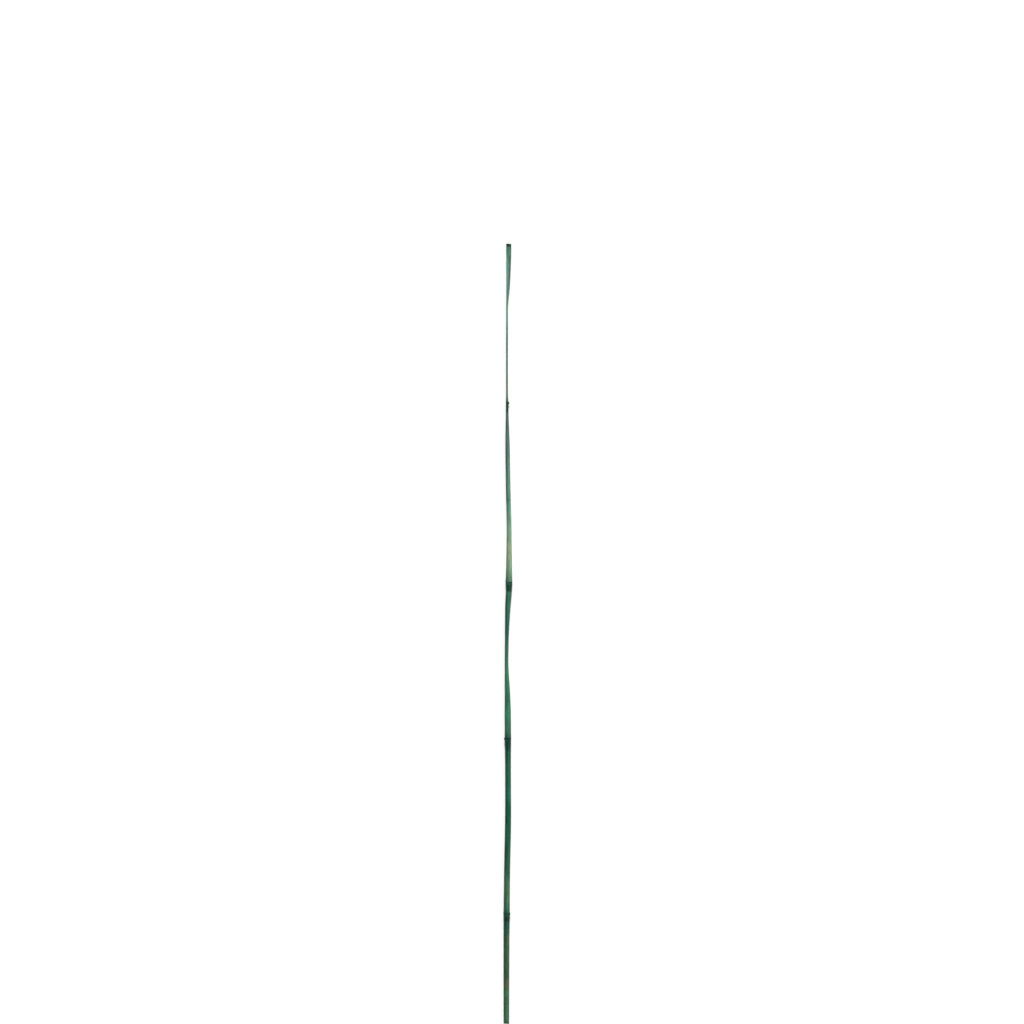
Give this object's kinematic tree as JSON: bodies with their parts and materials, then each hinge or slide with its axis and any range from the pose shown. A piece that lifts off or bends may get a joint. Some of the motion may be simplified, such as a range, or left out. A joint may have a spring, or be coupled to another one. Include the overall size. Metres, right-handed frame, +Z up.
{
  "type": "bamboo garden cane",
  "caption": "Slim, nearly straight bamboo cane dyed green, with ringed joints, small trimmed branch stubs and hollow cut ends, lying flat.",
  "frame": {"origin": "middle of the box round the lying cane, on the surface it rests on", "axes": "+Y along the cane from the thick butt end to the thin tip end, +Z up from the surface it lies on, +X to the right when seen from above with the tip pointing up the page"},
  "size_m": [0.0108, 0.9006, 0.0081],
  "materials": {
    "dyed_bamboo": "green dye over smooth bamboo skin, darker at the joints, paler and worn in patches, satin"
  },
  "bodies": {
    "root": {"bamboo_cane": "dyed_bamboo"}
  },
  "joints": []
}
